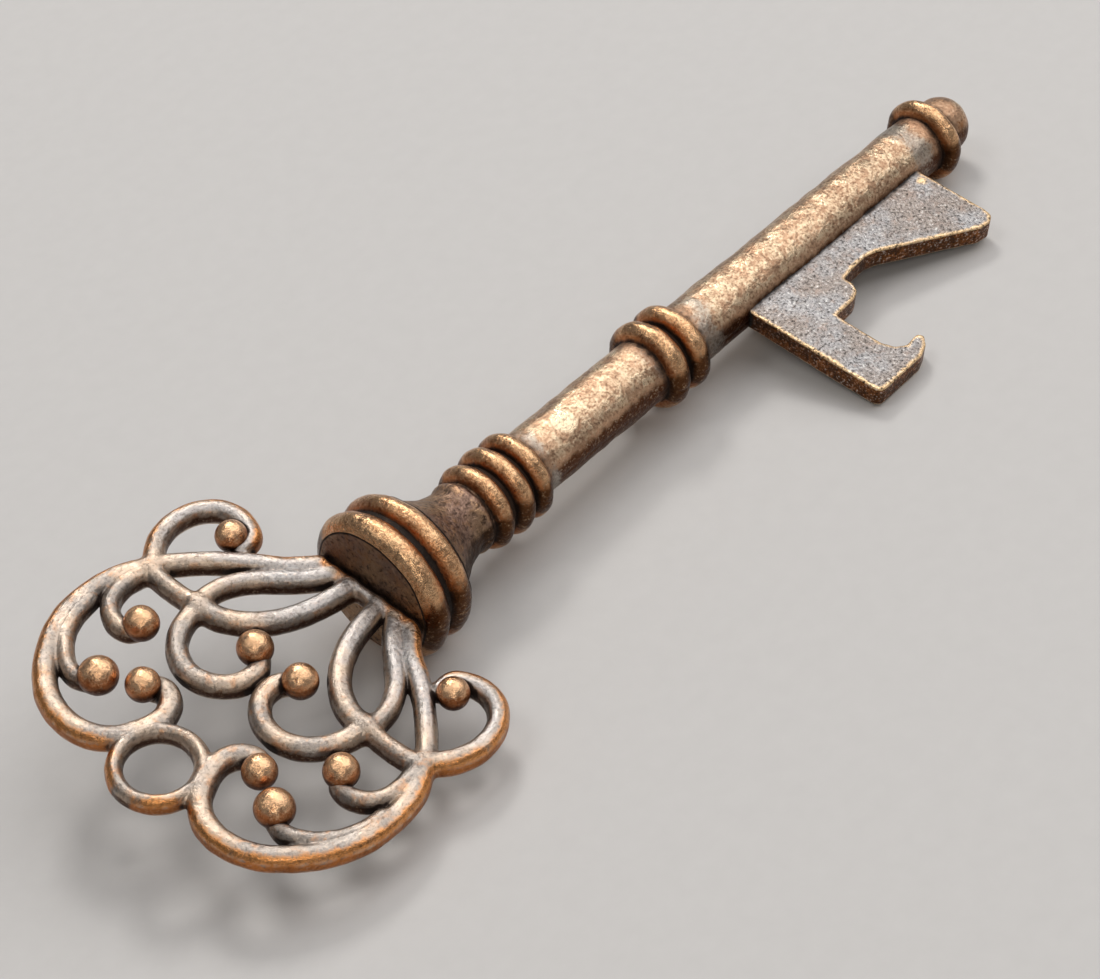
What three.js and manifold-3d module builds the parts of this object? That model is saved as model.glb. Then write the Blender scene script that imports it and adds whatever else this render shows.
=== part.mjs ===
// Decorative skeleton key with a bottle opener for a bit, in antique copper.
//
// Millimetres. The key is drawn in its own frame first: X runs along the shank from the
// bow to the tip, the bit hangs towards -Y, and Z is square to the flat bow. It is then
// rolled and pitched onto the three points it rests on: the flange rim, the tip ring and
// the hook of the bit. +Z is up, and the origin is the centre of the box's underside.
import * as THREE from 'three';
import { mergeVertices } from 'three/addons/utils/BufferGeometryUtils.js';
import Module from 'manifold-3d';

const wasm = await Module();
wasm.setup();

// ---- Driving dimensions ----

const SCROLL_THICKNESS = 1.6;
const BIT_THICKNESS = 1.5;
const SOLDER_GAP = 0.04;
const TURNED_SIDES = 32;

const EYE = { x: 5.5, innerRadius: 2.05, outerRadius: 3.15 };
const BEAD = { rise: 0.6, sides: 16 };
const ROOT_BAR = { start: 22.75, end: 23.7, halfLength: 4.0 };

const SHANK = { start: 32.6, end: 81.7, radius: 2.35 };
const FLANGE_DISC = { start: 23.75, end: 27.8, radius: 4.6 };

// The neck flares like a bell from the shank to the flange, with a small lip at the shank.
// These are the x and radius of its outer side.
const NECK_START = FLANGE_DISC.end + SOLDER_GAP;
const NECK_END = SHANK.start - SOLDER_GAP;
const NECK_SIDE = [
  [NECK_START, 4.2], [28.5, 3.8], [29.3, 3.25], [30.1, 2.85], [30.9, 2.6], [31.7, 2.45],
  [32.0, 2.58], [32.3, 2.6], [NECK_END, 2.45],
];

// Collars are rounded bands: x of the middle, radius of the crest, radius of the round.
const COLLARS = {
  flange_ring_rear: { x: 24.75, crest: 5.25, round: 0.9, seat: FLANGE_DISC.radius },
  flange_ring_front: { x: 26.85, crest: 5.18, round: 0.82, seat: FLANGE_DISC.radius },
  collar_rear: { x: 33.5, crest: 3.0, round: 0.7, seat: SHANK.radius },
  collar_middle: { x: 35.35, crest: 3.1, round: 0.72, seat: SHANK.radius },
  collar_front: { x: 37.15, crest: 3.05, round: 0.7, seat: SHANK.radius },
  mid_collar_rear: { x: 50.7, crest: 3.2, round: 0.8, seat: SHANK.radius },
  mid_collar_front: { x: 52.85, crest: 3.15, round: 0.78, seat: SHANK.radius },
  tip_ring: { x: 81.3, crest: 3.05, round: 0.69, seat: SHANK.radius },
};
const FINIAL = {
  start: 81.75, end: 85.3, radius: 2.2, cornerRadius: 1.8, rearRadius: 2.05, widestAt: 82.7,
};

// ---- Finishes ----

const finish = (color, roughness) =>
  new THREE.MeshStandardMaterial({ color, roughness, metalness: 1 });
const FINISHES = {
  scroll: finish(0xa8948a, 0.45),
  bead: finish(0xc79a62, 0.35),
  ring: finish(0xb98a55, 0.4),
  shank: finish(0x8c6a52, 0.45),
  bit: finish(0x7d7774, 0.5),
};

// ---- Solid helpers ----

function toSolid(geometry) {
  const bare = geometry.clone();
  bare.deleteAttribute('normal');
  bare.deleteAttribute('uv');
  const merged = mergeVertices(bare);
  const vertProperties = new Float32Array(merged.attributes.position.array);
  const triVerts = new Uint32Array(merged.index.array);
  return new wasm.Manifold(new wasm.Mesh({ numProp: 3, vertProperties, triVerts }));
}

function toGeometry(solid) {
  const { vertProperties, triVerts } = solid.getMesh();
  const geometry = new THREE.BufferGeometry();
  geometry.setAttribute('position', new THREE.BufferAttribute(vertProperties, 3));
  geometry.setIndex(new THREE.BufferAttribute(triVerts, 1));
  geometry.computeVertexNormals();
  return geometry;
}

// A flat plate of the given outline, centred on z = 0.
function plate(outline, thickness) {
  const shape = new THREE.Shape(outline);
  const geometry = new THREE.ExtrudeGeometry(shape, { depth: thickness, bevelEnabled: false });
  return geometry.translate(0, 0, -thickness / 2);
}

// A turned piece about the X axis from a closed [x, radius] profile, outer side first to last.
function turned(profile) {
  const points = profile.map(([x, radius]) => new THREE.Vector2(radius, x));
  return new THREE.LatheGeometry(points, TURNED_SIDES).rotateZ(-Math.PI / 2);
}

function arc(centreX, centreY, radius, startAngle, endAngle, steps) {
  return Array.from({ length: steps + 1 }, (_, i) => {
    const angle = startAngle + ((endAngle - startAngle) * i) / steps;
    return [centreX + radius * Math.cos(angle), centreY + radius * Math.sin(angle)];
  });
}

// ---- Pieces of the bow ----

// A flat strip that follows a smooth curve, tapering from its first width to its last.
function strip({ path, widths }, side, grow) {
  const curve = new THREE.SplineCurve(path.map(([x, y]) => new THREE.Vector2(x, side * y)));
  const steps = 4 * (path.length - 1);
  const left = [];
  const right = [];
  for (let i = 0; i <= steps; i += 1) {
    const t = i / steps;
    const along = curve.getTangent(t);
    const across = new THREE.Vector2(-along.y, along.x);
    const halfWidth = THREE.MathUtils.lerp(widths[0], widths[1], t) / 2 + grow;
    const point = curve.getPoint(t);
    left.push(point.clone().addScaledVector(across, halfWidth));
    right.unshift(point.clone().addScaledVector(across, -halfWidth));
  }
  return plate([...left, ...right], SCROLL_THICKNESS + 2 * grow);
}

// A bead is a ball set high in the bow, so that it stands proud of the front face only.
function bead({ x, y, radius }, side, grow) {
  const quarter = Math.PI / 2;
  const profile = arc(0, 0, radius + grow, -quarter, quarter, 10);
  const points = profile.map(([r, z]) => new THREE.Vector2(r, z));
  const ball = new THREE.LatheGeometry(points, BEAD.sides).rotateX(quarter);
  return ball.translate(x, side * y, BEAD.rise);
}

// The eye has its hole only as a piece: what is fitted to it stays out of the hole as well.
function hangingEye(grow) {
  const outer = new THREE.Shape().absarc(EYE.x, 0, EYE.outerRadius + grow, 0, 2 * Math.PI);
  if (grow === 0) {
    outer.holes.push(new THREE.Path().absarc(EYE.x, 0, EYE.innerRadius, 0, 2 * Math.PI, true));
  }
  const depth = SCROLL_THICKNESS + 2 * grow;
  const options = { depth, bevelEnabled: false, curveSegments: TURNED_SIDES };
  return new THREE.ExtrudeGeometry(outer, options).translate(0, 0, -depth / 2);
}

function rootBar(grow) {
  const length = ROOT_BAR.end - ROOT_BAR.start;
  const box = new THREE.BoxGeometry(
    length + 2 * grow, 2 * (ROOT_BAR.halfLength + grow), SCROLL_THICKNESS + 2 * grow);
  return box.translate((ROOT_BAR.start + ROOT_BAR.end) / 2, 0, 0);
}

const BEADS = {
  end_bead: { x: 9.0, y: 4.8, radius: 1.1 },
  branch_bead: { x: 7.7, y: 7.25, radius: 1.25 },
  curl_bead: { x: 12.25, y: 8.25, radius: 1.13 },
  ear_bead: { x: 20.95, y: 9.2, radius: 1.03 },
  inner_bead: { x: 15.5, y: 1.87, radius: 1.15 },
};

// Each strip of one half of the bow: the curve down its middle, its width at each end,
// and the pieces laid before it that it is fitted against.
const STRIPS = {
  c_scroll: {
    path: [[16.1, 11.1], [14.7, 12.05], [13.2, 12.5], [11.5, 12.6], [9.9, 12.4], [8.4, 11.85],
      [7.1, 11.05], [5.9, 10.0], [4.9, 8.7], [4.35, 7.25], [4.25, 5.8], [4.6, 4.5], [5.4, 3.45],
      [6.4, 2.85], [7.4, 2.45], [8.4, 2.4], [9.3, 2.85], [9.75, 3.7], [9.5, 4.6]],
    widths: [1.5, 1.55],
    fittedTo: ['hanging_eye', 'end_bead'],
  },
  outer_strap: {
    path: [[15.8, 11.5], [16.5, 11.05], [17.4, 10.3], [18.5, 9.25], [19.65, 8.0], [20.7, 6.6],
      [21.7, 5.15], [23.1, 3.8]],
    widths: [1.35, 1.45],
    fittedTo: ['root_bar', 'c_scroll'],
  },
  ear: {
    path: [[16.3, 11.35], [16.95, 11.95], [17.9, 12.55], [19.3, 12.9], [20.9, 12.65], [22.1, 11.75],
      [22.6, 10.6], [22.5, 9.4], [21.9, 8.4], [20.9, 8.3]],
    widths: [1.45, 1.35],
    fittedTo: ['c_scroll', 'outer_strap', 'ear_bead'],
  },
  scroll_branch: {
    path: [[11.6, 12.1], [10.3, 11.9], [9.1, 11.4], [8.1, 10.6], [7.3, 9.6], [7.0, 8.6],
      [7.3, 7.6]],
    widths: [1.15, 1.25],
    fittedTo: ['c_scroll', 'branch_bead'],
  },
  branch_curl: {
    path: [[15.5, 11.2], [14.1, 11.45], [12.8, 11.25], [11.9, 10.6], [11.45, 9.6], [11.6, 8.7],
      [12.2, 8.3]],
    widths: [1.25, 1.25],
    fittedTo: ['c_scroll', 'curl_bead'],
  },
  post: {
    path: [[15.8, 11.2], [15.7, 10.1], [15.65, 9.0], [15.7, 7.9], [15.85, 6.9]],
    widths: [1.3, 1.3],
    fittedTo: ['c_scroll', 'outer_strap', 'ear', 'branch_curl'],
  },
  lens_outer_strip: {
    path: [[15.7, 7.1], [16.9, 7.15], [18.1, 6.85], [19.3, 6.1], [20.5, 4.9], [21.7, 3.65],
      [23.1, 2.6]],
    widths: [1.3, 1.4],
    fittedTo: ['root_bar', 'outer_strap', 'post'],
  },
  lens_inner_strip: {
    path: [[15.75, 7.1], [15.8, 6.3], [16.05, 5.2], [16.75, 4.0], [17.8, 2.95], [19.2, 2.1],
      [20.9, 1.55], [23.1, 1.15]],
    widths: [1.5, 1.5],
    fittedTo: ['root_bar', 'post', 'lens_outer_strip', 'inner_bead'],
  },
  inner_scroll: {
    path: [[15.9, 6.75], [14.8, 6.75], [13.5, 6.3], [12.4, 5.4], [11.75, 4.1], [11.75, 2.75],
      [12.35, 1.6], [13.35, 0.85], [14.6, 0.8], [15.4, 1.4]],
    widths: [1.5, 1.4],
    fittedTo: ['post', 'lens_inner_strip', 'inner_bead'],
  },
};

// ---- Pieces of the shank ----

// The seat of a collar is the bore that fits over the round it is pushed onto.
function collar({ x, crest, round, seat }) {
  const bore = seat + SOLDER_GAP;
  const roundCentre = crest - round;
  const startAngle = Math.PI - Math.asin((bore - roundCentre) / round);
  const profile = arc(x, roundCentre, round, startAngle, Math.PI - startAngle, 8);
  return turned([...profile, profile[0]]);
}

function shank(grow) {
  return turned([[SHANK.start, 0], [SHANK.start, SHANK.radius + grow],
    [SHANK.end, SHANK.radius + grow], [SHANK.end, 0]]);
}

const flangeDisc = () => turned([[FLANGE_DISC.start, 0], [FLANGE_DISC.start, FLANGE_DISC.radius],
  [FLANGE_DISC.end, FLANGE_DISC.radius], [FLANGE_DISC.end, 0]]);

const neck = () => turned([[NECK_START, 0], ...NECK_SIDE, [NECK_END, 0]]);

function finial() {
  const { start, end, radius, cornerRadius, rearRadius, widestAt } = FINIAL;
  const corner = arc(end - cornerRadius, radius - cornerRadius, cornerRadius, Math.PI / 2, 0, 5);
  return turned([[start, 0], [start, rearRadius], [widestAt, radius], ...corner, [end, 0]]);
}

// ---- The bit: an opener plate ----

// The outline of the plate, clockwise from where its rear edge meets the shank. The points
// inside the shank are trimmed off where the plate is soldered on.
const BIT_OUTLINE = [
  [58.5, -1.6], [58.5, -12.6], [58.65, -12.95], [59.0, -13.1], [63.1, -13.05], [64.1, -12.65],
  [64.75, -12.05], [64.5, -11.6], [63.2, -11.7], [62.55, -11.25], [62.25, -10.4], [62.25, -6.6],
  [64.4, -6.5], [65.1, -6.2], [65.45, -5.6], [65.45, -4.85], [66.8, -4.65], [68.2, -4.6],
  [69.1, -4.85], [75.9, -8.7], [76.8, -8.85], [77.5, -8.5], [77.65, -7.9], [77.65, -1.6],
];

const bitPlate = () =>
  plate(BIT_OUTLINE.map(([x, y]) => new THREE.Vector2(x, y)), BIT_THICKNESS);

// ---- Assembly ----

const key = new THREE.Group();
const builders = {};

// Adds a piece, cut back by a solder gap from the pieces it is fitted to.
function addPiece(name, material, build, fittedTo = []) {
  builders[name] = build;
  let geometry = build(0);
  if (fittedTo.length > 0) {
    const body = fittedTo.reduce(
      (solid, other) => solid.subtract(toSolid(builders[other](SOLDER_GAP))), toSolid(geometry));
    geometry = toGeometry(body);
  }
  const mesh = new THREE.Mesh(geometry, material);
  mesh.name = name;
  key.add(mesh);
}

addPiece('hanging_eye', FINISHES.scroll, hangingEye);
addPiece('root_bar', FINISHES.scroll, rootBar);
for (const [sideName, side] of [['left', 1], ['right', -1]]) {
  const named = (name) => (name in builders ? name : `${sideName}_${name}`);
  for (const [name, details] of Object.entries(BEADS)) {
    addPiece(`${sideName}_${name}`, FINISHES.bead, (grow) => bead(details, side, grow));
  }
  for (const [name, details] of Object.entries(STRIPS)) {
    addPiece(`${sideName}_${name}`, FINISHES.scroll, (grow) => strip(details, side, grow),
      details.fittedTo.map(named));
  }
}

addPiece('flange_disc', FINISHES.shank, flangeDisc);
addPiece('neck', FINISHES.shank, neck);
addPiece('shank', FINISHES.shank, shank);
for (const [name, details] of Object.entries(COLLARS)) {
  addPiece(name, FINISHES.ring, () => collar(details));
}
addPiece('finial', FINISHES.shank, finial);
addPiece('bit', FINISHES.bit, bitPlate, ['shank']);

// ---- Resting attitude ----

// The tip ring is smaller than the flange, so the key noses down until both touch.
const rear = COLLARS.flange_ring_rear;
const tip = COLLARS.tip_ring;
const pitch = Math.asin((rear.crest - tip.crest) / (tip.x - rear.x));
const groundLevel = -rear.x * Math.sin(pitch) - rear.crest;

// The roll about the shank at which a point on the bit's lower face reaches the ground.
function rollToGround([x, y]) {
  const reach = -(groundLevel + x * Math.sin(pitch)) / Math.cos(pitch);
  const lowerFace = BIT_THICKNESS / 2;
  return Math.asin(reach / Math.hypot(y, lowerFace)) - Math.atan2(lowerFace, -y);
}
const clearOfFlange = BIT_OUTLINE.filter(([, y]) => y < -rear.crest);
const roll = Math.min(...clearOfFlange.map(rollToGround));

key.rotation.set(roll, pitch, 0, 'YXZ');
key.updateMatrixWorld(true);
const box = new THREE.Box3().setFromObject(key, true);
const group = new THREE.Group();
key.position.set(-(box.min.x + box.max.x) / 2, -(box.min.y + box.max.y) / 2, -box.min.z);
group.add(key);

export default group;
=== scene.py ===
"""Antique copper skeleton key with a bottle opener for a bit.

Every piece is a fine mesh that stands for one CAD node. Pieces are shaped in the key's
own frame, in millimetres: X runs from the bow to the tip, the bit hangs towards -Y and
Z is square to the flat bow. They are then turned onto the floor as the CAD model is.
"""
import math

import bpy
import numpy as np
from mathutils import Matrix, Vector


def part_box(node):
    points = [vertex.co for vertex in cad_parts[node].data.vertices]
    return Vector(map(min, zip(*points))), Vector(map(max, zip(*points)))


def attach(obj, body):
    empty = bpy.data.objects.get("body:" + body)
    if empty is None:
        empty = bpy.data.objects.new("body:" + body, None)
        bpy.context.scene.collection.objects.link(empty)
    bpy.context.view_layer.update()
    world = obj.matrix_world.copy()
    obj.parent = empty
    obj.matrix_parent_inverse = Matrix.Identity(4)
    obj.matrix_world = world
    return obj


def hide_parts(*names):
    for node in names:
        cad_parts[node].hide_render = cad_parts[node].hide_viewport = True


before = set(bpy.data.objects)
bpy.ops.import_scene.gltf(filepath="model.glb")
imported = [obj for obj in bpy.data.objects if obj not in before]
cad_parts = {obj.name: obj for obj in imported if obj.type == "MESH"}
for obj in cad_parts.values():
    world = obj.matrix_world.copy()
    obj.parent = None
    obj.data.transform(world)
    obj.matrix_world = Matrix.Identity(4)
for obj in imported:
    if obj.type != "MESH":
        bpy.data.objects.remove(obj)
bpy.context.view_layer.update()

MM = 0.001

# ---- Driving dimensions, in millimetres in the key's own frame ----

# The strips of the bow. Their upper and lower faces drop by the crown towards the edges.
SCROLL_THICKNESS = 1.6
SCROLL_EDGE_RADIUS = 0.42
SCROLL_CROWN = 0.26
SCROLL_FILLET = 0.3

BIT_THICKNESS = 1.5
BIT_EDGE_RADIUS = 0.14

EYE_X = 5.5
EYE_INNER = 2.05
EYE_OUTER = 3.15

# How far the middle of a bead stands above the middle of the bow.
BEAD_RISE = 0.6

# The root bar is narrower at its start by the taper each side. At its end it is longer and
# wider by the overlap, so that its rounded edge meets the flange.
ROOT_BAR_START = 22.75
ROOT_BAR_END = 23.7
ROOT_BAR_HALF = 4.0
ROOT_BAR_TAPER = 0.3
ROOT_BAR_OVERLAP = 0.1

# The shank. The radius of its plain surface starts at the seat and falls by the taper. The
# shank starts earlier by the tuck, inside the neck.
SHANK_START = 32.6
SHANK_END = 81.7
SHANK_RADIUS = 2.35
SHANK_SEAT = SHANK_RADIUS - 0.02
SHANK_TAPER = 0.16
SHANK_TUCK = 0.1

# The flange disc. Its softened rear edge: x past its start, and radius.
DISC_START = 23.75
DISC_END = 27.8
DISC_RADIUS = 4.6
DISC_EDGE = [(0, 4.2), (0.03, 4.45), (0.12, DISC_RADIUS)]

# The bell of the neck: x and radius.
NECK_SIDE = [(27.7, 4.4), (27.95, 4.1), (28.5, 3.75), (29.3, 3.23), (30.1, 2.78),
             (30.9, 2.52), (31.5, 2.4), (31.8, 2.46), (32.1, 2.55), (32.4, 2.5), (32.65, 2.3)]

# The finial: x and radius of its side, then the place and the round of its dome. The middle
# of the round is off the axis by the offset.
FINIAL_SIDE = [(81.6, 1.9), (82.1, 2.0), (82.7, 2.08)]
FINIAL_DOME_X = 83.35
FINIAL_DOME_OFFSET = 0.28
FINIAL_DOME_ROUND = 1.8

# Collars: x of the middle, radius of the crest, radius of the round.
COLLARS = {
    "flange_ring_rear": (24.75, 5.25, 0.9),
    "flange_ring_front": (26.85, 5.18, 0.82),
    "collar_rear": (33.5, 3.0, 0.7),
    "collar_middle": (35.35, 3.1, 0.72),
    "collar_front": (37.15, 3.05, 0.7),
    "mid_collar_rear": (50.7, 3.2, 0.8),
    "mid_collar_front": (52.85, 3.15, 0.78),
    "tip_ring": (81.3, 3.05, 0.69),
}

# Beads of one half of the bow: x and y of the centre, and the radius.
BEADS = {
    "end_bead": (9.0, 4.8, 1.1),
    "branch_bead": (7.7, 7.25, 1.25),
    "curl_bead": (12.25, 8.25, 1.13),
    "ear_bead": (20.95, 9.2, 1.03),
    "inner_bead": (15.5, 1.87, 1.15),
}

# Each strip of one half of the bow: the curve down its middle and its width at each end.
STRIPS = {
    "c_scroll": ([(16.1, 11.1), (14.7, 12.05), (13.2, 12.5), (11.5, 12.6), (9.9, 12.4),
                  (8.4, 11.85), (7.1, 11.05), (5.9, 10.0), (4.9, 8.7), (4.35, 7.25),
                  (4.25, 5.8), (4.6, 4.5), (5.4, 3.45), (6.4, 2.85), (7.4, 2.45),
                  (8.4, 2.4), (9.3, 2.85), (9.75, 3.7), (9.5, 4.6)], 1.5, 1.55),
    "outer_strap": ([(15.8, 11.5), (16.5, 11.05), (17.4, 10.3), (18.5, 9.25), (19.65, 8.0),
                     (20.7, 6.6), (21.7, 5.15), (23.1, 3.8)], 1.35, 1.45),
    "ear": ([(16.3, 11.35), (16.95, 11.95), (17.9, 12.55), (19.3, 12.9), (20.9, 12.65),
             (22.1, 11.75), (22.6, 10.6), (22.5, 9.4), (21.9, 8.4), (20.9, 8.3)], 1.45, 1.35),
    "scroll_branch": ([(11.6, 12.1), (10.3, 11.9), (9.1, 11.4), (8.1, 10.6), (7.3, 9.6),
                       (7.0, 8.6), (7.3, 7.6)], 1.15, 1.25),
    "branch_curl": ([(15.5, 11.2), (14.1, 11.45), (12.8, 11.25), (11.9, 10.6), (11.45, 9.6),
                     (11.6, 8.7), (12.2, 8.3)], 1.25, 1.25),
    "post": ([(15.8, 11.2), (15.7, 10.1), (15.65, 9.0), (15.7, 7.9), (15.85, 6.9)],
             1.3, 1.3),
    "lens_outer_strip": ([(15.7, 7.1), (16.9, 7.15), (18.1, 6.85), (19.3, 6.1), (20.5, 4.9),
                          (21.7, 3.65), (23.1, 2.6)], 1.3, 1.4),
    "lens_inner_strip": ([(15.75, 7.1), (15.8, 6.3), (16.05, 5.2), (16.75, 4.0),
                          (17.8, 2.95), (19.2, 2.1), (20.9, 1.55), (23.1, 1.15)], 1.5, 1.5),
    "inner_scroll": ([(15.9, 6.75), (14.8, 6.75), (13.5, 6.3), (12.4, 5.4), (11.75, 4.1),
                      (11.75, 2.75), (12.35, 1.6), (13.35, 0.85), (14.6, 0.8), (15.4, 1.4)],
                     1.5, 1.4),
}

# The outline of the opener plate, from where its rear edge meets the shank, down that edge
# and round by the hook and the arm to where its front edge meets the shank.
BIT_OUTLINE = [
    (58.5, -1.6), (58.5, -12.6), (58.65, -12.95), (59.0, -13.1), (63.1, -13.05),
    (64.1, -12.65), (64.75, -12.05), (64.5, -11.6), (63.2, -11.7), (62.55, -11.25),
    (62.25, -10.4), (62.25, -6.6), (64.4, -6.5), (65.1, -6.2), (65.45, -5.6),
    (65.45, -4.85), (66.8, -4.65), (68.2, -4.6), (69.1, -4.85), (75.9, -8.7),
    (76.8, -8.85), (77.5, -8.5), (77.65, -7.9), (77.65, -1.6),
]

# ---- The key's attitude on the floor, and its place in the row frame ----

REAR_X, REAR_CREST, _ = COLLARS["flange_ring_rear"]
TIP_X, TIP_CREST, _ = COLLARS["tip_ring"]
PITCH = math.asin((REAR_CREST - TIP_CREST) / (TIP_X - REAR_X))


def roll_to_ground(x, y):
    """The roll about the shank at which a corner of the bit's lower face reaches the floor."""
    ground_level = -REAR_X * math.sin(PITCH) - REAR_CREST
    reach = -(ground_level + x * math.sin(PITCH)) / math.cos(PITCH)
    lower_face = BIT_THICKNESS / 2
    return math.asin(reach / math.hypot(y, lower_face)) - math.atan2(lower_face, -y)


ROLL = min(roll_to_ground(x, y) for x, y in BIT_OUTLINE if y < -REAR_CREST)


def key_to_row():
    """The matrix from the key's frame, in millimetres, to the row frame, in metres."""
    turn = Matrix.Rotation(PITCH, 4, "Y") @ Matrix.Rotation(ROLL, 4, "X")
    low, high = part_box("shank")
    shank_middle = Vector(((SHANK_START + SHANK_END) / 2, 0, 0))
    shift = (low + high) / 2 - (turn @ shank_middle) * MM
    return Matrix.Translation(shift) @ turn @ Matrix.Scale(MM, 4)


KEY_TO_ROW = key_to_row()

# ---- Between the points of a lattice ----

CORNERS = [np.array([corner & 1, corner >> 1 & 1, corner >> 2 & 1]) for corner in range(8)]


def corner_weights(part):
    """Each corner of a cell, and its weights at points that part of the way across the cell."""
    for corner in CORNERS:
        yield corner, np.prod(np.where(corner == 1, part, 1 - part), axis=1)


# ---- Smooth noise, the same on every run ----

LATTICE_SIZE = 64
LATTICE_SEED = 7
LATTICE_START = 1000.0
SEED_SHIFT = 17.31
lattice = np.random.default_rng(LATTICE_SEED).random((LATTICE_SIZE,) * 3)
lattice = lattice.astype(np.float32) * 2 - 1


def noise(points, feature, seed):
    """Smooth noise from -1 to 1 at an (n, 3) array of points, feature millimetres across."""
    scaled = points / feature + seed * SEED_SHIFT + LATTICE_START
    cell = np.floor(scaled).astype(np.int64)
    part = (scaled - cell).astype(np.float32)
    part = part * part * (3 - 2 * part)
    total = np.zeros(len(points), np.float32)
    for corner, weight in corner_weights(part):
        index = (cell + corner) % LATTICE_SIZE
        total += weight * lattice[index[:, 0], index[:, 1], index[:, 2]]
    return total


def cast_lumps(points, layers):
    """The lumps that casting leaves, in layers of (height, feature size, noise seed)."""
    return sum(height * noise(points, feature, seed) for height, feature, seed in layers)


# ---- Distance fields ----

# Farther than anything, and too short to divide by, in millimetres.
FAR = 1e9
TINY = 1e-9


class Grid:
    """A regular grid of sample points over a box, in millimetres."""

    def __init__(self, low, high, step):
        self.low = np.array(low, float)
        self.step = step
        self.axes = [np.arange(a, b + step, step, dtype=np.float32)
                     for a, b in zip(low, high)]
        self.shape = tuple(len(axis) for axis in self.axes)

    def plan(self):
        """The (n, 2) x and y of every column of the grid."""
        x, y = np.meshgrid(self.axes[0], self.axes[1], indexing="ij")
        return np.stack([x.ravel(), y.ravel()], 1)

    def sample(self, field, points):
        """The field at an (n, 3) array of points, by trilinear interpolation."""
        scaled = (points - self.low) / self.step
        limit = np.array(field.shape) - 1.001  # just short of the last point
        scaled = np.clip(scaled, 0, limit)
        cell = scaled.astype(np.int64)
        part = scaled - cell
        total = np.zeros(len(points))
        for corner, weight in corner_weights(part):
            index = cell + corner
            total += weight * field[index[:, 0], index[:, 1], index[:, 2]]
        return total

    def sample_plan(self, values, points):
        """Values on the grid's plan, at the x and y of an (n, 3) array of points."""
        flat = points * [1, 1, 0] + [0, 0, self.low[2]]
        return self.sample(np.repeat(values[:, :, None], 2, 2), flat)


def smooth_curve(points, steps_each=8):
    """A Catmull-Rom curve through the points, as the CAD model draws it."""
    points = np.array(points, float)
    found = []
    for i in range(len(points) - 1):
        p0 = points[max(i - 1, 0)]
        p1, p2 = points[i], points[i + 1]
        p3 = points[min(i + 2, len(points) - 1)]
        v0, v1 = (p2 - p0) / 2, (p3 - p1) / 2
        for step in range(steps_each):
            t = step / steps_each
            found.append((2 * p1 - 2 * p2 + v0 + v1) * t**3
                         + (-3 * p1 + 3 * p2 - 2 * v0 - v1) * t**2 + v0 * t + p1)
    return np.array([*found, points[-1]])


def strip_distance(plan, path, first_width, last_width):
    """Distance in plan from the side of a strip, less than 0 inside it."""
    curve = smooth_curve(path)
    nearest = np.full(len(plan), FAR, np.float32)
    count = len(curve) - 1
    for i in range(count):
        start, along = curve[i], curve[i + 1] - curve[i]
        t = np.clip((plan - start) @ along / (along @ along), 0, 1)
        half = (first_width + (last_width - first_width) * (i + t) / count) / 2
        gap = np.hypot(*(plan - start - t[:, None] * along).T) - half
        nearest = np.minimum(nearest, gap)
    return nearest


def outline_distance(plan, outline):
    """Distance in plan from a closed outline, less than 0 inside it."""
    corners = np.array(outline, float)
    nearest = np.full(len(plan), FAR)
    inside = np.zeros(len(plan), bool)
    for start, end in zip(corners, np.roll(corners, -1, 0)):
        along = end - start
        t = np.clip((plan - start) @ along / (along @ along), 0, 1)
        nearest = np.minimum(nearest, np.hypot(*(plan - start - t[:, None] * along).T))
        straddles = (start[1] > plan[:, 1]) != (end[1] > plan[:, 1])
        if along[1] != 0:
            crossing = start[0] + (plan[:, 1] - start[1]) * along[0] / along[1]
            inside ^= straddles & (plan[:, 0] < crossing)
    return np.where(inside, -nearest, nearest)


def rounded_plate(side, z, thickness, radius, crown=0.0):
    """A plate with rounded edges: side is the plan distance, z the heights of the grid.

    The plate is thinner at its edges by the crown on both faces.
    """
    side = side[:, :, None]
    inward = np.clip(-side / radius, 0, 2)
    half = thickness / 2 - crown * (1 - inward / 2) ** 2
    across = side + radius
    upward = np.abs(z)[None, None, :] - half + radius
    outside = np.hypot(np.maximum(across, 0), np.maximum(upward, 0))
    return np.minimum(np.maximum(across, upward), 0) + outside - radius


def smooth_union(a, b, blend):
    """The union of two fields with a fillet of about the blend length between them."""
    share = np.maximum(blend - np.abs(a - b), 0) / blend
    return np.minimum(a, b) - share * share * blend / 4


def blurred(field, reach):
    """The mean of the field over a box of reach cells each way."""
    for axis in range(3):
        padding = [(0, 0)] * 3
        padding[axis] = (reach + 1, reach)
        total = np.cumsum(np.pad(field, padding, mode="edge"), axis=axis, dtype=np.float64)
        width = 2 * reach + 1
        high = np.take(total, range(width, total.shape[axis]), axis=axis)
        low = np.take(total, range(0, total.shape[axis] - width), axis=axis)
        field = ((high - low) / width).astype(np.float32)
    return field


# ---- From a field to a mesh ----

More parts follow.
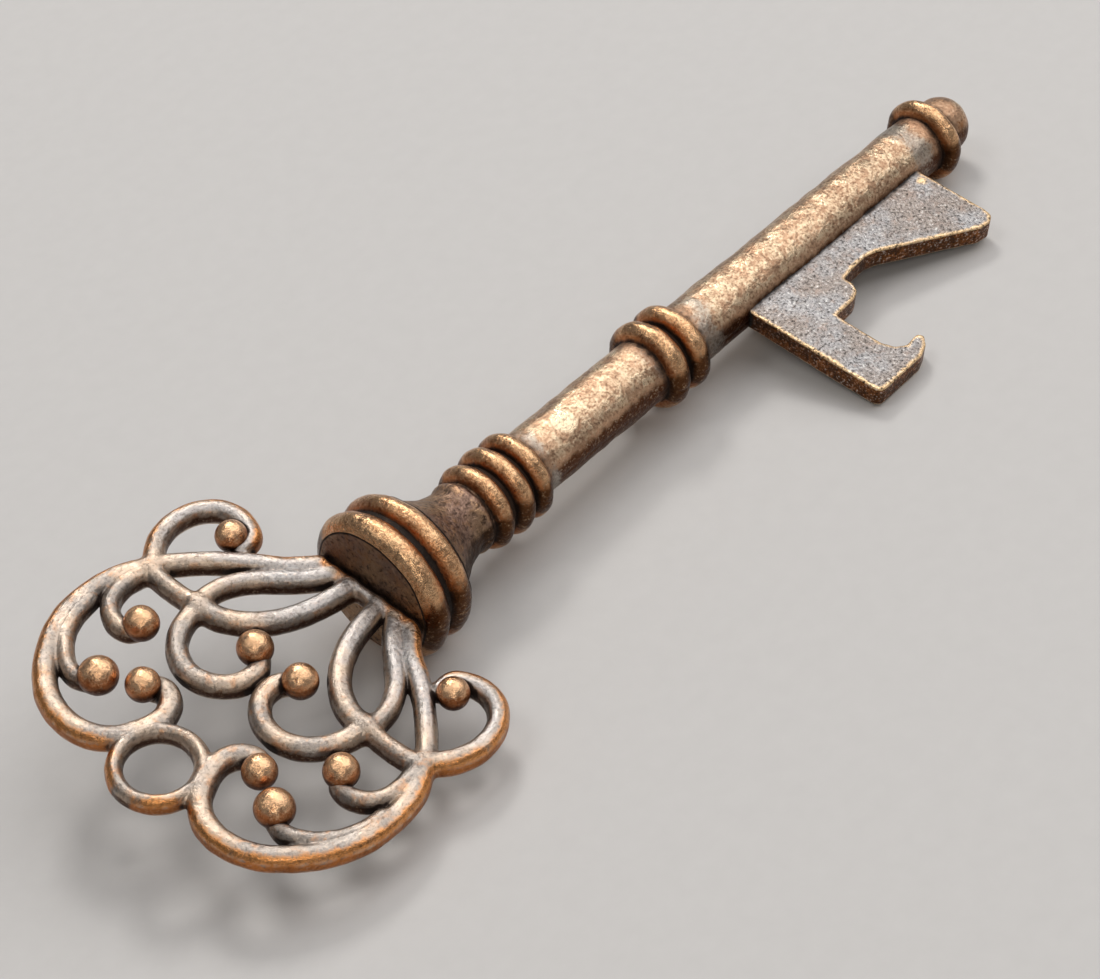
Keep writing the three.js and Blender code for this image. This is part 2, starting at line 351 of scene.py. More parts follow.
def surface(grid, field):
    """The surface where the field is 0, as vertices and quads, by surface nets."""
    inside = field < 0
    shape = np.array(field.shape)
    corner_count = np.zeros(shape - 1, np.int8)
    for i, j, k in CORNERS:
        corner_count += inside[i:shape[0] - 1 + i, j:shape[1] - 1 + j, k:shape[2] - 1 + k]
    crossed = (corner_count > 0) & (corner_count < 8)
    cells = np.argwhere(crossed)
    number = np.full(crossed.shape, -1, np.int64)
    number[crossed] = np.arange(len(cells))

    total = np.zeros((len(cells), 3))
    hits = np.zeros(len(cells))
    for axis in range(3):
        others = [a for a in range(3) if a != axis]
        for side in range(4):
            start = cells.copy()
            start[:, others[0]] += side & 1
            start[:, others[1]] += side >> 1
            end = start.copy()
            end[:, axis] += 1
            a = field[tuple(start.T)]
            b = field[tuple(end.T)]
            cut = (a < 0) != (b < 0)
            share = np.where(cut, a / np.where(cut, a - b, 1), 0)
            place = start.astype(float)
            place[:, axis] += share
            total += place * cut[:, None]
            hits += cut
    vertices = grid.low + total / hits[:, None] * grid.step

    quads = []
    for axis in range(3):
        after = (axis + 1) % 3
        last = (axis + 2) % 3
        lower = [slice(None)] * 3
        upper = [slice(None)] * 3
        lower[axis] = slice(0, shape[axis] - 1)
        upper[axis] = slice(1, shape[axis])
        change = inside[tuple(lower)] != inside[tuple(upper)]
        edges = np.argwhere(change)
        keep = (edges[:, after] > 0) & (edges[:, after] < shape[after] - 1)
        keep &= (edges[:, last] > 0) & (edges[:, last] < shape[last] - 1)
        edges = edges[keep]
        ring = []
        for back_after, back_last in ((1, 1), (0, 1), (0, 0), (1, 0)):
            cell = edges.copy()
            cell[:, after] -= back_after
            cell[:, last] -= back_last
            ring.append(number[tuple(cell.T)])
        ring = np.stack(ring, 1)
        starts_inside = inside[tuple(edges.T)]
        ring[~starts_inside] = ring[~starts_inside][:, ::-1]
        quads.append(ring)
    return vertices, np.concatenate(quads)


def largest_part(vertices, quads):
    """Only the largest connected part of a mesh."""
    label = np.arange(len(vertices))
    while True:
        lowest = label[quads].min(1)
        new = label.copy()
        for column in range(4):
            np.minimum.at(new, quads[:, column], lowest)
        new = new[new]
        if np.array_equal(new, label):
            break
        label = new
    names, counts = np.unique(label[quads[:, 0]], return_counts=True)
    kept = quads[label[quads[:, 0]] == names[counts.argmax()]]
    used, renumbered = np.unique(kept, return_inverse=True)
    return vertices[used], renumbered.reshape(kept.shape)


def unit(vectors):
    """Each row of an (n, 3) array, one unit long."""
    return vectors / np.maximum(np.linalg.norm(vectors, axis=1), TINY)[:, None]


def slopes(grid, field, points):
    """The outward direction of the field at an (n, 3) array of points."""
    found = []
    for axis in range(3):
        step = np.zeros(3)
        step[axis] = grid.step
        found.append(grid.sample(field, points + step) - grid.sample(field, points - step))
    return unit(np.stack(found, 1))


def make_piece(node, vertices, faces, material, slot, marks):
    """One smooth mesh that stands for a CAD node. marks are its named values per vertex."""
    turn = np.array(KEY_TO_ROW)
    mesh = bpy.data.meshes.new(f"{node}_cast")
    mesh.from_pydata(vertices @ turn[:3, :3].T + turn[:3, 3], [], faces)
    mesh.shade_smooth()
    for name, values in marks.items():
        attribute = mesh.attributes.new(name, "FLOAT", "POINT")
        attribute.data.foreach_set("value", np.clip(values, 0, 1).astype(np.float32))
    mesh.materials.append(material)
    piece = bpy.data.objects.new(f"{node}_cast", mesh)
    bpy.context.scene.collection.objects.link(piece)
    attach(piece, "root")
    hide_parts(node)


# ---- Materials ----

def linear(hex_colour):
    """A colour written as sRGB hex, as the linear RGBA that a shader takes."""
    channels = [int(hex_colour[i:i + 2], 16) / 255 for i in (0, 2, 4)]
    return (*(c / 12.92 if c < 0.04045 else ((c + 0.055) / 1.055) ** 2.4
              for c in channels), 1)


class Nodes:
    """A material's node tree, with short calls for the nodes used here."""

    def __init__(self, name):
        self.material = bpy.data.materials.new(name)
        self.material.use_nodes = True
        self.tree = self.material.node_tree
        self.tree.nodes.clear()
        self.place = self.add("ShaderNodeTexCoord").outputs["Object"]

    def add(self, kind, inputs=None, **settings):
        """A new node. An input is another node's output or a plain value."""
        made = self.tree.nodes.new(kind)
        for key, value in settings.items():
            setattr(made, key, value)
        for key, value in (inputs or {}).items():
            if isinstance(value, bpy.types.NodeSocket):
                self.tree.links.new(value, made.inputs[key])
            else:
                made.inputs[key].default_value = value
        return made

    def mark(self, name):
        """A value stored on the vertices of the piece."""
        return self.add("ShaderNodeAttribute", attribute_name=name).outputs["Fac"]

    def noise(self, feature, detail, roughness=0.55, distortion=0.0):
        """Noise from 0 to 1 whose features are about that many millimetres across."""
        return self.add("ShaderNodeTexNoise", {
            "Vector": self.place, "Scale": 1 / (feature * MM), "Detail": detail,
            "Roughness": roughness, "Distortion": distortion}).outputs["Fac"]

    def pits(self, feature):
        """Distance from scattered points, for pits that many millimetres apart."""
        return self.add("ShaderNodeTexVoronoi", {
            "Vector": self.place, "Scale": 1 / (feature * MM)}).outputs["Distance"]

    def remap(self, value, low, high, to_low=0.0, to_high=1.0):
        """The value eased from the range low..high to the range to_low..to_high."""
        return self.add("ShaderNodeMapRange", {
            "Value": value, "From Min": low, "From Max": high,
            "To Min": to_low, "To Max": to_high}, interpolation_type="SMOOTHSTEP").outputs[0]

    def math(self, operation, a, b):
        """The sum, product or other result of two numbers."""
        return self.add("ShaderNodeMath", {0: a, 1: b}, operation=operation).outputs[0]

    def mix(self, factor, a, b):
        """Colour a where factor is 0, and b where it is 1."""
        return self.add("ShaderNodeMix", {0: factor, 6: a, 7: b},
                        data_type="RGBA").outputs[2]

    def blend(self, factor, a, b):
        """Number a where factor is 0, and b where it is 1."""
        return self.add("ShaderNodeMix", {0: factor, 2: a, 3: b}).outputs[0]


# The mottling of the patina and the spacing of the pits, in millimetres.
BROAD_MOTTLE = 3.2
MEDIUM_MOTTLE = 0.7
PIT_SPACING = 0.45

# How dull and how little metallic grime is, and the painted shade that shares its mark.
GRIME_AND_SHADE_ROUGHNESS = 0.62
GRIME_AND_SHADE_METALLIC = 0.6


def aged_copper(name, palette, roughness, speckle, grain_depth=0.012, grain_size=0.16,
                wear=(0.35, 0.75)):
    """Cast copper alloy with patina on its faces, rubbed edges and dark recesses.

    In the palette, face and tint are the two shades of the open faces and fleck their spots.
    edge is for worn edges and crests and for the painted highlight on bead tops. wall
    is for the walls and sides, painted darker as painted shade, and rim for the outer sides,
    bare copper that on the bow is partly painted reflection. deep is for recesses, dark grain
    and the painted shade low on the beads, glint for bright grain that is partly painted
    glints, and bloom for the grey patina. Speckle is the strength of the grain, whose depth
    and size are in millimetres, and wear is the range in which the wear mark
    and its painted highlight take hold.
    """
    n = Nodes(name)
    shade = {part: linear(colour) for part, colour in palette.items()}
    fine = n.noise(grain_size, 4.0, 0.65)
    medium = n.noise(MEDIUM_MOTTLE, 4.0, 0.6, 0.3)
    broad = n.noise(BROAD_MOTTLE, 3.0, 0.5)
    uneven = n.math("ADD", n.remap(medium, 0.3, 0.7, -0.15, 0.15),
                    n.remap(fine, 0.3, 0.7, -0.11, 0.11))

    # The wear mark also carries the painted highlight on the tops of the beads, and less wear
    # on the painted shade of turned sides.
    worn_and_lit = n.remap(n.math("ADD", n.mark("wear"), uneven), *wear)
    dirty_and_shaded = n.remap(n.math("ADD", n.mark("grime"), uneven), 0.25, 0.85)
    wall = n.remap(n.math("ADD", n.mark("wall"), uneven), 0.3, 0.85)
    rim = n.remap(n.math("ADD", n.mark("rim"), uneven), 0.3, 0.7)
    rim = n.math("MULTIPLY", rim, n.remap(broad, 0.35, 0.65, 0.6, 1.0))
    bloom = n.remap(n.math("ADD", n.mark("bloom"), uneven), 0.3, 0.8, 0.0, 0.8)
    ridge = n.remap(n.math("ADD", n.mark("ridge"), uneven), 0.2, 0.6)
    # Bright grain: partly the metal's own flecks, partly painted glints of near-white colour.
    grain_and_glints = n.remap(fine, 0.54, 0.7, 0.0, speckle * 0.6)
    dark_grain = n.remap(fine, 0.5, 0.32, 0.0, speckle)

    colour = n.mix(n.remap(broad, 0.4, 0.62), shade["face"], shade["tint"])
    colour = n.mix(n.remap(medium, 0.5, 0.72, 0.0, 0.6), colour, shade["fleck"])
    colour = n.mix(worn_and_lit, colour, shade["edge"])
    # Walls and sides take a dark brown as painted shade. On the bow's outer rim they take
    # bright copper instead, partly bare copper and partly painted reflection.
    colour = n.mix(wall, colour, n.mix(rim, shade["wall"], shade["rim"]))
    colour = n.mix(bloom, colour, shade["bloom"])
    colour = n.mix(ridge, colour, shade["edge"])
    colour = n.mix(grain_and_glints, colour, shade["glint"])
    colour = n.mix(dark_grain, colour, shade["deep"])
    # Grime darkens the recesses as patina. On the beads and on the sides of turned parts the
    # same darkening is painted shade.
    colour = n.mix(dirty_and_shaded, colour, shade["deep"])

    gloss = n.remap(medium, 0.3, 0.7, roughness - 0.06, roughness + 0.06)
    gloss = n.blend(worn_and_lit, gloss, roughness - 0.1)
    gloss = n.blend(dirty_and_shaded, gloss, GRIME_AND_SHADE_ROUGHNESS)

    pit = n.remap(n.pits(PIT_SPACING), 0.0, 0.22, -0.8, 0.0)
    height = n.math("ADD", n.remap(fine, 0.2, 0.8, -0.6, 0.6), pit)
    height = n.math("ADD", height, n.remap(medium, 0.2, 0.8, -1.0, 1.0))
    bump = n.add("ShaderNodeBump", {"Height": height, "Strength": 1.0,
                                    "Distance": grain_depth * MM}).outputs[0]
    shader = n.add("ShaderNodeBsdfPrincipled", {
        "Base Color": colour, "Roughness": gloss, "Normal": bump,
        "Metallic": n.remap(dirty_and_shaded, 0.0, 1.0, 1.0, GRIME_AND_SHADE_METALLIC)})
    n.add("ShaderNodeOutputMaterial", {"Surface": shader.outputs[0]})
    return n.material


BOW_METAL = aged_copper(
    "bow_patina_metal",
    {"face": "cab5a1", "tint": "a0978f", "fleck": "cb9a74", "edge": "e09a5c",
     "wall": "4c3224", "rim": "bb743c", "deep": "2c1e17", "glint": "ecd0b2",
     "bloom": "b6b2b0"},
    roughness=0.36, speckle=0.45, grain_depth=0.014, grain_size=0.2, wear=(0.3, 1.0))
BEAD_METAL = aged_copper(
    "bead_copper_metal",
    {"face": "cc8a5e", "tint": "b8774c", "fleck": "ae6a42", "edge": "eebf94",
     "wall": "54301e", "rim": "54301e", "deep": "2a1a12", "glint": "ffe0bc",
     "bloom": "a89c94"},
    roughness=0.34, speckle=0.35)
RING_METAL = aged_copper(
    "collar_copper_metal",
    {"face": "bd7c4e", "tint": "9c6440", "fleck": "cc8246", "edge": "e6b98c",
     "wall": "52331c", "rim": "52331c", "deep": "26170f", "glint": "ffdcb4",
     "bloom": "a89c94"},
    roughness=0.33, speckle=0.45, grain_depth=0.016, grain_size=0.22, wear=(0.3, 1.2))
SHANK_METAL = aged_copper(
    "shank_copper_metal",
    {"face": "c69f80", "tint": "ae8a6e", "fleck": "b67a48", "edge": "eed6b4",
     "wall": "532f17", "rim": "532f17", "deep": "3a281c", "glint": "f4dabc",
     "bloom": "aaa298"},
    roughness=0.36, speckle=0.55, grain_depth=0.016, grain_size=0.2)
DARK_METAL = aged_copper(
    "flange_dark_metal",
    {"face": "a08266", "tint": "8c7264", "fleck": "a87a50", "edge": "c8a07c",
     "wall": "402b1c", "rim": "402b1c", "deep": "241912", "glint": "c0a284",
     "bloom": "8a7c70"},
    roughness=0.42, speckle=0.75, grain_depth=0.024, grain_size=0.3)
BIT_METAL = aged_copper(
    "bit_patina_metal",
    {"face": "a3a1a1", "tint": "9a9089", "fleck": "ae9b90", "edge": "f2ce9e",
     "wall": "58351a", "rim": "a86a38", "deep": "2e2a28", "glint": "f0eeea",
     "bloom": "8f9296"},
    roughness=0.4, speckle=0.9, grain_depth=0.022, grain_size=0.2, wear=(0.3, 0.85))

# ---- The bow ----

# The box that the bow is worked out in, and the size of its cells.
BOW_LOW = (2.0, -14.4, -1.3)
BOW_HIGH = (24.4, 14.4, 1.3)
BOW_STEP = 0.1

# Two members part along the line where they are equally near. The field rises on the far
# side of it by this much for each square millimetre.
SEAM_SLOPE = 2.0

# Grime gathers where other metal is nearer than this.
GRIME_REACH = 0.45

# The worn band along the edges of the strips.
SCROLL_WORN_WIDTH = 0.85

# Ground counts as outside the bow if it is joined to the edge of the box by a way that keeps
# this far from the strips. The rim grows from there to the strips and on by the reach, and is
# softened over this many cells each way.
OUTSIDE_GAP = 0.9
RIM_REACH = 0.6
RIM_BLUR_CELLS = 3

# The grey bloom towards the root: x where it starts, the length over which it would become
# full, and its most.
BLOOM_START = 14.5
BLOOM_LENGTH = 7
BLOOM_MOST = 0.85

# A member is cut out of the shared field this far beyond its own side.
MEMBER_MARGIN = 0.3

BOW_LUMPS = [(0.035, 2.4, 1), (0.02, 0.8, 2), (0.01, 0.35, 3)]

# The halves of the bow, and the sign of y in each.
HALVES = (("left", 1), ("right", -1))


def bow_plans(plan):
    """The plan distance of every flat member of the bow, by node name."""
    eye_middle = (EYE_INNER + EYE_OUTER) / 2
    eye_half = (EYE_OUTER - EYE_INNER) / 2
    from_eye = np.hypot(plan[:, 0] - EYE_X, plan[:, 1])
    found = {"hanging_eye": np.abs(from_eye - eye_middle) - eye_half}
    near_half = ROOT_BAR_HALF - ROOT_BAR_TAPER
    far_x = ROOT_BAR_END + ROOT_BAR_OVERLAP
    far_half = ROOT_BAR_HALF + ROOT_BAR_OVERLAP
    bar = [(ROOT_BAR_START, -near_half), (far_x, -far_half),
           (far_x, far_half), (ROOT_BAR_START, near_half)]
    found["root_bar"] = outline_distance(plan, bar)
    for half, sign in HALVES:
        for name, (path, first, last) in STRIPS.items():
            mirrored = [(x, sign * y) for x, y in path]
            found[f"{half}_{name}"] = strip_distance(plan, mirrored, first, last)
    return found


def bead_places():
    """Node name, plan place and radius of every bead."""
    return [(f"{half}_{name}", x, sign * y, radius)
            for half, sign in HALVES for name, (x, y, radius) in BEADS.items()]


def outside_ground(nearest):
    """Where the plan is outside the bow, found by flooding it from three of its edges."""
    free = nearest > OUTSIDE_GAP
    flooded = np.zeros_like(free)
    flooded[0, :] = flooded[:, 0] = flooded[:, -1] = True
    flooded &= free
    while True:
        wider = flooded.copy()
        wider[1:] |= flooded[:-1]
        wider[:-1] |= flooded[1:]
        wider[:, 1:] |= flooded[:, :-1]
        wider[:, :-1] |= flooded[:, 1:]
        wider &= free
        if np.array_equal(wider, flooded):
            return flooded
        flooded = wider


def outer_rim(grid, nearest):
    """1 in plan outside the bow and over its outermost edge, falling to 0 inside."""
    flooded = outside_ground(nearest)
    cells = round((OUTSIDE_GAP + RIM_REACH) / grid.step)
    disc = [(i, j) for i in range(-cells, cells + 1) for j in range(-cells, cells + 1)
            if i * i + j * j <= cells * cells]
    grown = np.zeros_like(flooded)
    for i, j in disc[::3]:  # every third shift leaves no gaps
        grown |= np.roll(flooded, (i, j), (0, 1))
    return blurred(grown[:, :, None].astype(np.float32), RIM_BLUR_CELLS)[:, :, 0]


def edge_mark(side, z, thickness, width):
    """1 along the edges of a plate, falling to 0 at the given width from them."""
    return 1 - np.hypot(side, thickness / 2 - np.abs(z)) / width


def flowing_metal(members, heights):
    """One field of all the flat members, with a fillet wherever they meet."""
    metal = None
    for side in members.values():
        one = rounded_plate(side, heights, SCROLL_THICKNESS, SCROLL_EDGE_RADIUS,
                            SCROLL_CROWN).astype(np.float32)
        metal = one if metal is None else smooth_union(metal, one, SCROLL_FILLET)
    return metal


def with_beads_and_flange(grid, metal):
    """The metal of the bow and of what stands next to it."""
    x, y = grid.plan().T.reshape(2, *grid.shape[:2])
    rise = grid.axes[2] - BEAD_RISE
    everything = metal
    for _, bead_x, bead_y, radius in bead_places():
        flat = np.hypot(x - bead_x, y - bead_y)
        ball = np.sqrt(flat[:, :, None] ** 2 + rise[None, None, :] ** 2) - radius
        everything = np.minimum(everything, ball)
    return np.minimum(everything, (DISC_START - x)[:, :, None])


def bow_marks(vertices, outward, room, from_side, outer):
    """Wear, grime and patina of a member of the bow, from the room round each vertex."""
    near_edge = edge_mark(from_side, vertices[:, 2], SCROLL_THICKNESS, SCROLL_WORN_WIDTH)
    towards_root = np.clip((vertices[:, 0] - BLOOM_START) / BLOOM_LENGTH, 0, BLOOM_MOST)
    facing_up = np.clip(outward[:, 2] * 3 - 1.6, 0, 1)
    return {
        "wear": near_edge * (0.5 + 0.8 * outer) + 0.15 * outer,
        "grime": 1.1 - room * 1.2,
        # Steep walls are painted darker as painted shade.
        "wall": 1 - np.abs(outward[:, 2]) * 1.3,
        "rim": outer,
        "bloom": towards_root * (1 - outer) * facing_up,
    }


def bow():
    """All the flat members of the bow, cut from one field so that they flow together."""
    grid = Grid(BOW_LOW, BOW_HIGH, BOW_STEP)
    members = {name: found.reshape(grid.shape[:2]).astype(np.float32)
               for name, found in bow_plans(grid.plan()).items()}
    metal = flowing_metal(members, grid.axes[2])
    everything = with_beads_and_flange(grid, metal)
    stack = np.stack(list(members.values()))
    nearest = stack.min(0)
    rim = outer_rim(grid, nearest)
    for index, (name, side) in enumerate(members.items()):
        others = np.delete(stack, index, 0).min(0)
        intrusion = np.maximum(side - others, 0)
        own = metal + SEAM_SLOPE * (intrusion**2)[:, :, None]
        cells = np.nonzero(side < MEMBER_MARGIN)
        box = [slice(max(a.min() - 2, 0), a.max() + 3) for a in cells]
        corner = grid.low + grid.step * np.array([box[0].start, box[1].start, 0])
        part = Grid(corner, corner, grid.step)
        vertices, faces = largest_part(*surface(part, own[box[0], box[1]]))
        outward = slopes(grid, metal, vertices)
        room = grid.sample(everything, vertices + outward * GRIME_REACH) / GRIME_REACH
        marks = bow_marks(vertices, outward, room, grid.sample_plan(nearest, vertices),
                          grid.sample_plan(rim, vertices))
        vertices = vertices + outward * cast_lumps(vertices, BOW_LUMPS)[:, None]
        make_piece(name, vertices, faces, BOW_METAL, "bow_patina", marks)


# ---- Beads ----

BEAD_SEGMENTS = 72
BEAD_SPACING = 0.08
BEAD_ARC_STEPS = 48
BEAD_LUMPS = [(0.03, 1.7, 4), (0.006, 0.5, 5)]

# A turned mesh ends beside its axis, in a ring too small to see.
POLE_RADIUS = 0.004


def joined_normals(vertices, quads):
    """The outward direction at every vertex of a mesh of quads."""
    corners = vertices[quads]
    facing = np.cross(corners[:, 2] - corners[:, 0], corners[:, 3] - corners[:, 1])
    total = np.zeros_like(vertices)
    for column in range(4):
        np.add.at(total, quads[:, column], facing)
    return unit(total)


def resampled(points, spacing, closed=False):
    """Points evenly spaced along a line through the given ones."""
    points = np.array([*points, points[0]] if closed else points, float)
    along = np.concatenate([[0], np.cumsum(np.hypot(*np.diff(points, axis=0).T))])
    places = np.linspace(0, along[-1], max(round(along[-1] / spacing), 8) + 1)
    found = np.stack([np.interp(places, along, column) for column in points.T], 1)
    return found[:-1] if closed else found


def lathe(profile, segments, closed=False):
    """A turned mesh about the X axis from a profile of [x, radius], as vertices and quads.

    An open profile starts and ends at the pole radius. A closed one comes back to its start.
    """
    x, radius = profile.T
    angle = np.arange(segments) * 2 * math.pi / segments
    ring_x = np.repeat(x, segments)
    vertices = np.stack([ring_x, np.outer(radius, np.cos(angle)).ravel(),
                         np.outer(radius, np.sin(angle)).ravel()], 1)
    count = len(profile)
    last = count if closed else count - 1
    ring = np.arange(last)[:, None]
    spoke = np.arange(segments)[None, :]
    following = (ring + 1) % count
    beside = (spoke + 1) % segments
    quads = np.stack([ring * segments + spoke, ring * segments + beside,
                      following * segments + beside, following * segments + spoke], 2)
    return vertices, quads.reshape(-1, 4)[:, ::-1]


def arc(centre_x, centre_r, radius, start, end, steps):
    """Points of [x, radius] on part of a circle, by angles from the X direction."""
    angle = np.linspace(start, end, steps + 1)
    return np.stack([centre_x + radius * np.cos(angle), centre_r + radius * np.sin(angle)], 1)


def bead(node, x, y, radius):
    """A cast bead: a ball, a little off round, that stands proud of the bow."""
    profile = arc(0, 0, radius, math.pi, 0, BEAD_ARC_STEPS)
    profile[[0, -1], 1] = POLE_RADIUS
    spun, quads = lathe(resampled(profile, BEAD_SPACING), BEAD_SEGMENTS)
    vertices = spun[:, [1, 2, 0]]
    outward = joined_normals(vertices, quads)
    height = vertices[:, 2] / radius
    vertices = vertices + [x, y, BEAD_RISE]
    vertices = vertices + outward * cast_lumps(vertices, BEAD_LUMPS)[:, None]
    # The top of a bead is painted lighter, partly worn copper and partly painted highlight. Its
    # lower part is painted darker, as painted shade.
    marks = {
        "wear": 0.25 + 0.65 * height,
        "grime": -0.25 - height,
        "wall": 0.7 - height * 1.3,
    }
    make_piece(node, vertices, quads, BEAD_METAL, "bead_copper", marks)


# ---- Turned parts of the shank ----

TURNED_SPACING = 0.1
TURNED_LUMPS = [(0.05, 2.6, 6), (0.04, 1.0, 7), (0.016, 0.4, 8)]

# The fin that the two halves of the mould leave along both sides, and the noise that breaks
# it up: feature size and seed.
PARTING_HEIGHT = 0.06
PARTING_WIDTH = 0.1
PARTING_NOISE = (1.1, 9)

# The small fillet at each foot of a band, the most that it may rise as a share of the round,
# and how deep the foot and the bore reach into what carries the band.
BAND_FOOT = 0.12
BAND_FOOT_MOST = 0.98
BAND_TUCK = 0.06
BAND_DEPTH = 0.25
BAND_STEPS = 24
DOME_STEPS = 14

# The outline of all the turned parts, along x: where it starts and ends, its steps, and the
# spacing of the points on the profiles that it is found from. Relief is measured against its
# mean over this many steps each way.
OUTLINE_START = 22.5
OUTLINE_END = 87
OUTLINE_STEP = 0.05
OUTLINE_SPACING = 0.03
MEAN_STEPS = 20

# Bands of grey patina round the shank: x of the middle, half width, strength. The noise that
# breaks them up: feature size and seed.
PATINA_BANDS = [(38.6, 0.9, 0.7), (49.2, 1.0, 0.4), (54.9, 1.4, 0.75), (78.6, 1.3, 0.9)]
PATINA_NOISE = (1.6, 13)

# The rubbed spot on top of the shank.
RUBBED_X = 41.3
RUBBED_Y = -0.5
RUBBED_RADIUS = 0.9

# Beyond this radius the flange disc lies in the grooves beside its rings.
DISC_GROOVE_RADIUS = 4.4


def seat_radius(x):
    """The radius of the plain shank, which is a little thinner towards the tip."""
    return SHANK_SEAT - SHANK_TAPER * (x - SHANK_START) / (SHANK_END - SHANK_START)


def band_profile(x, crest, round_radius, bore):
    """A closed profile for a rounded band, with a small fillet at each foot."""
    centre = crest - round_radius
    rise = (bore + BAND_FOOT - centre) / round_radius
    low = math.asin(min(rise, BAND_FOOT_MOST)) if bore > centre else 0.0
    top = arc(x, centre, round_radius, math.pi - low, low, BAND_STEPS)
    left = top[0][0] - BAND_FOOT
    right = top[-1][0] + BAND_FOOT
    return np.concatenate([
        [[left, bore - BAND_TUCK]], top, [[right, bore - BAND_TUCK]],
        [[right, bore - BAND_DEPTH]], [[left, bore - BAND_DEPTH]]])


def turned_profiles():
    """The profile of each turned part by node name, and whether it is a closed band."""
    found = {}
    disc_edge = [(DISC_START + x, radius) for x, radius in DISC_EDGE]
    found["flange_disc"] = ([(DISC_START, POLE_RADIUS), *disc_edge,
                             (DISC_END, DISC_RADIUS), (DISC_END, POLE_RADIUS)], False)
    neck = smooth_curve(NECK_SIDE, steps_each=6)
    found["neck"] = ([(neck[0][0], POLE_RADIUS), *neck, (neck[-1][0], POLE_RADIUS)], False)
    start = SHANK_START - SHANK_TUCK
    found["shank"] = ([(start, POLE_RADIUS), (start, seat_radius(start)),
                       (SHANK_END, seat_radius(SHANK_END)), (SHANK_END, POLE_RADIUS)], False)
    for name, (x, crest, round_radius) in COLLARS.items():
        bore = DISC_RADIUS if name.startswith("flange") else seat_radius(x)
        found[name] = (band_profile(x, crest, round_radius, bore), True)
    dome = arc(FINIAL_DOME_X, FINIAL_DOME_OFFSET, FINIAL_DOME_ROUND, math.pi / 2, 0, DOME_STEPS)
    found["finial"] = ([(FINIAL_SIDE[0][0], POLE_RADIUS), *FINIAL_SIDE, *dome,
                        (FINIAL_DOME_X + FINIAL_DOME_ROUND, POLE_RADIUS)], False)
    return found


def mean_outline(profiles):
    """The radius of the whole turned outline along x, averaged over about 2 millimetres."""
    x = np.arange(OUTLINE_START, OUTLINE_END, OUTLINE_STEP)
    radius = np.zeros_like(x)
    for profile, _ in profiles.values():
        points = resampled(profile, OUTLINE_SPACING)
        cell = ((points[:, 0] - x[0]) / OUTLINE_STEP).round().astype(int)
        np.maximum.at(radius, np.clip(cell, 0, len(x) - 1), points[:, 1])
    width = 2 * MEAN_STEPS + 1
    padded = np.pad(radius, MEAN_STEPS, mode="edge")
    return x, np.convolve(padded, np.ones(width) / width, mode="valid")


def parting_fin(smooth, outward):
    """The height of the broken fin along both sides of a turned part."""
    breaks = np.clip(0.5 + 1.2 * noise(smooth * [1, 0, 0], *PARTING_NOISE), 0, 1)
    on_side = np.clip(np.hypot(outward[:, 1], outward[:, 2]) * 2 - 1, 0, 1)
    return PARTING_HEIGHT * np.exp(-(smooth[:, 2] / PARTING_WIDTH) ** 2) * breaks * on_side


def shank_bloom(smooth, cast):
    """The broken bands of grey patina round the shank."""
    bloom = np.zeros(len(smooth))
    for middle, half, strength in PATINA_BANDS:
        bloom += strength * np.exp(-((smooth[:, 0] - middle) / half) ** 2)
    return bloom * (0.8 + 0.6 * noise(cast, *PATINA_NOISE))


def turned_marks(node, smooth, cast, relief, fin):
    """Wear, grime and patina of a turned part, whose cast vertices are off its smooth ones.

    Relief is how far a vertex stands out of the mean outline, in millimetres. Crests are
    worn and hollows are dirty. The two sides are painted darker and less worn: painted shade.
    """
    x, y, z = smooth.T
    radius = np.hypot(y, z)
    # side is 1 on the two sides of a part, away from its top and bottom, where painted shade
    # darkens it.
    side = np.clip(1.6 - 2.4 * np.abs(z) / np.maximum(radius, 0.1), 0, 1)
    wear = 0.5 + relief * 1.6
    grime = -relief * 2.2
    bloom = np.zeros_like(x)
    if node == "shank":
        bloom = shank_bloom(smooth, cast)
        rubbed = np.hypot(np.hypot(x - RUBBED_X, y - RUBBED_Y), z - SHANK_RADIUS)
        wear = wear + 2 * np.clip(1 - rubbed / RUBBED_RADIUS, 0, 1)
    if node == "neck":
        grime = grime + 0.15
        wear = wear - 0.1
    if node == "flange_disc":
        grime = np.where(radius > DISC_GROOVE_RADIUS, 0.9, 0.2)
        wear = np.full_like(x, 0.2)
        side = np.zeros_like(x)
    if node == "finial":
        grime = grime + 0.2
        wear = wear - 0.3
        side = side * np.clip(radius - 0.6, 0, 1)
    # Less wear and more grime on the sides are painted shade.
    return {"wear": wear - side * 0.3 + fin * 8, "grime": grime + side * 0.1,
            "wall": side, "bloom": bloom}


def turned_finish(node):
    """The material and the record's slot of a turned part."""
    if node in COLLARS:
        return RING_METAL, "collar_copper"
    if node in ("flange_disc", "neck"):
        return DARK_METAL, "shank_copper"
    return SHANK_METAL, "shank_copper"


def turned_parts():
    """The flange, the neck, the shank, its collars and the finial."""
    profiles = turned_profiles()
    mean_x, mean_radius = mean_outline(profiles)
    for node, (points, closed) in profiles.items():
        profile = resampled(points, TURNED_SPACING, closed)
        # a multiple of 4, so that the top, the bottom and both sides are alike
        segments = 4 * round(2 * math.pi * profile[:, 1].max() / TURNED_SPACING / 5)
        smooth, quads = lathe(profile, segments, closed)
        outward = joined_normals(smooth, quads)
        radius = np.hypot(smooth[:, 1], smooth[:, 2])
        lumps = cast_lumps(smooth, TURNED_LUMPS)
        fin = parting_fin(smooth, outward)
        cast = smooth + outward * (lumps * np.minimum(radius, 1) + fin)[:, None]
        relief = radius - np.interp(smooth[:, 0], mean_x, mean_radius)
        marks = turned_marks(node, smooth, cast, relief, fin)
        make_piece(node, cast, quads, *turned_finish(node), marks)


# ---- The bit ----

